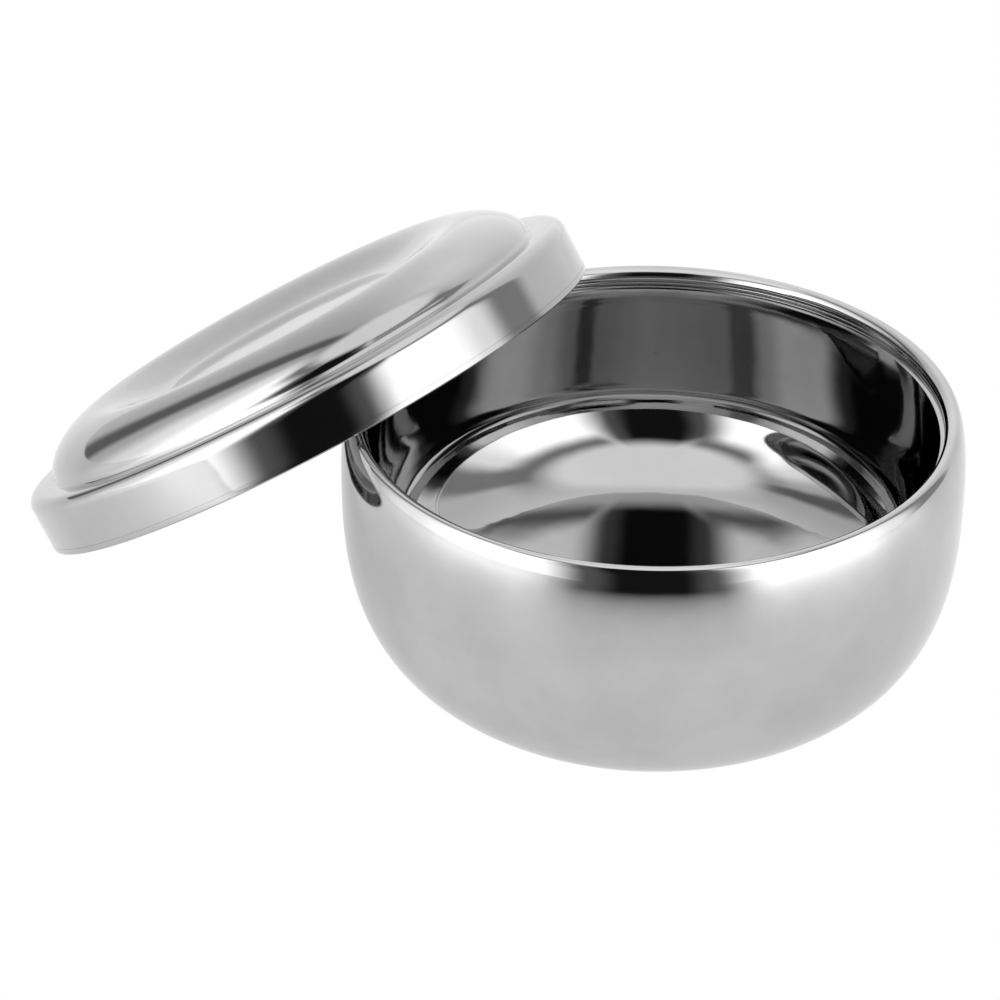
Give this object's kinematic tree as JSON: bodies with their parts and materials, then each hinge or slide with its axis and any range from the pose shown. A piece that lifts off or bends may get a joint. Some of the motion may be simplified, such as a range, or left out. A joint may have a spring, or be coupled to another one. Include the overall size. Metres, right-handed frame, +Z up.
{
  "type": "shaving bowl with lid",
  "caption": "Round double-wall polished steel bowl for shaving lather, smooth and rounded inside, with a matching dished lid leaning on its rim.",
  "frame": {"origin": "centre of the bowl's flat base, on the surface the bowl stands on", "axes": "+Z up along the bowl's axis; -Y is the side seen from the front; the lid leans at the back left, towards -X and +Y"},
  "size_m": [0.1543, 0.1358, 0.0634],
  "materials": {
    "mirror_steel": "mirror-polished stainless steel",
    "mirror_steel_inner": "mirror-polished stainless steel",
    "polished_weld": "ground and polished weld seam",
    "lid_mirror_steel": "mirror-polished stainless steel",
    "lid_inner_steel": "polished stainless steel",
    "lid_hem_steel": "polished stainless steel"
  },
  "bodies": {
    "bowl": {"outer_shell": "mirror_steel", "inner_liner": "mirror_steel_inner", "rim_seam": "polished_weld"},
    "lid": {"lid_shell": "lid_mirror_steel", "lid_liner": "lid_inner_steel", "lid_hem": "lid_hem_steel"}
  },
  "joints": [
    {"name": "lid_lift", "type": "slide", "parent": "bowl", "child": "lid", "axis": [0, 0, 1], "range_m": [0, 0.06]}
  ]
}
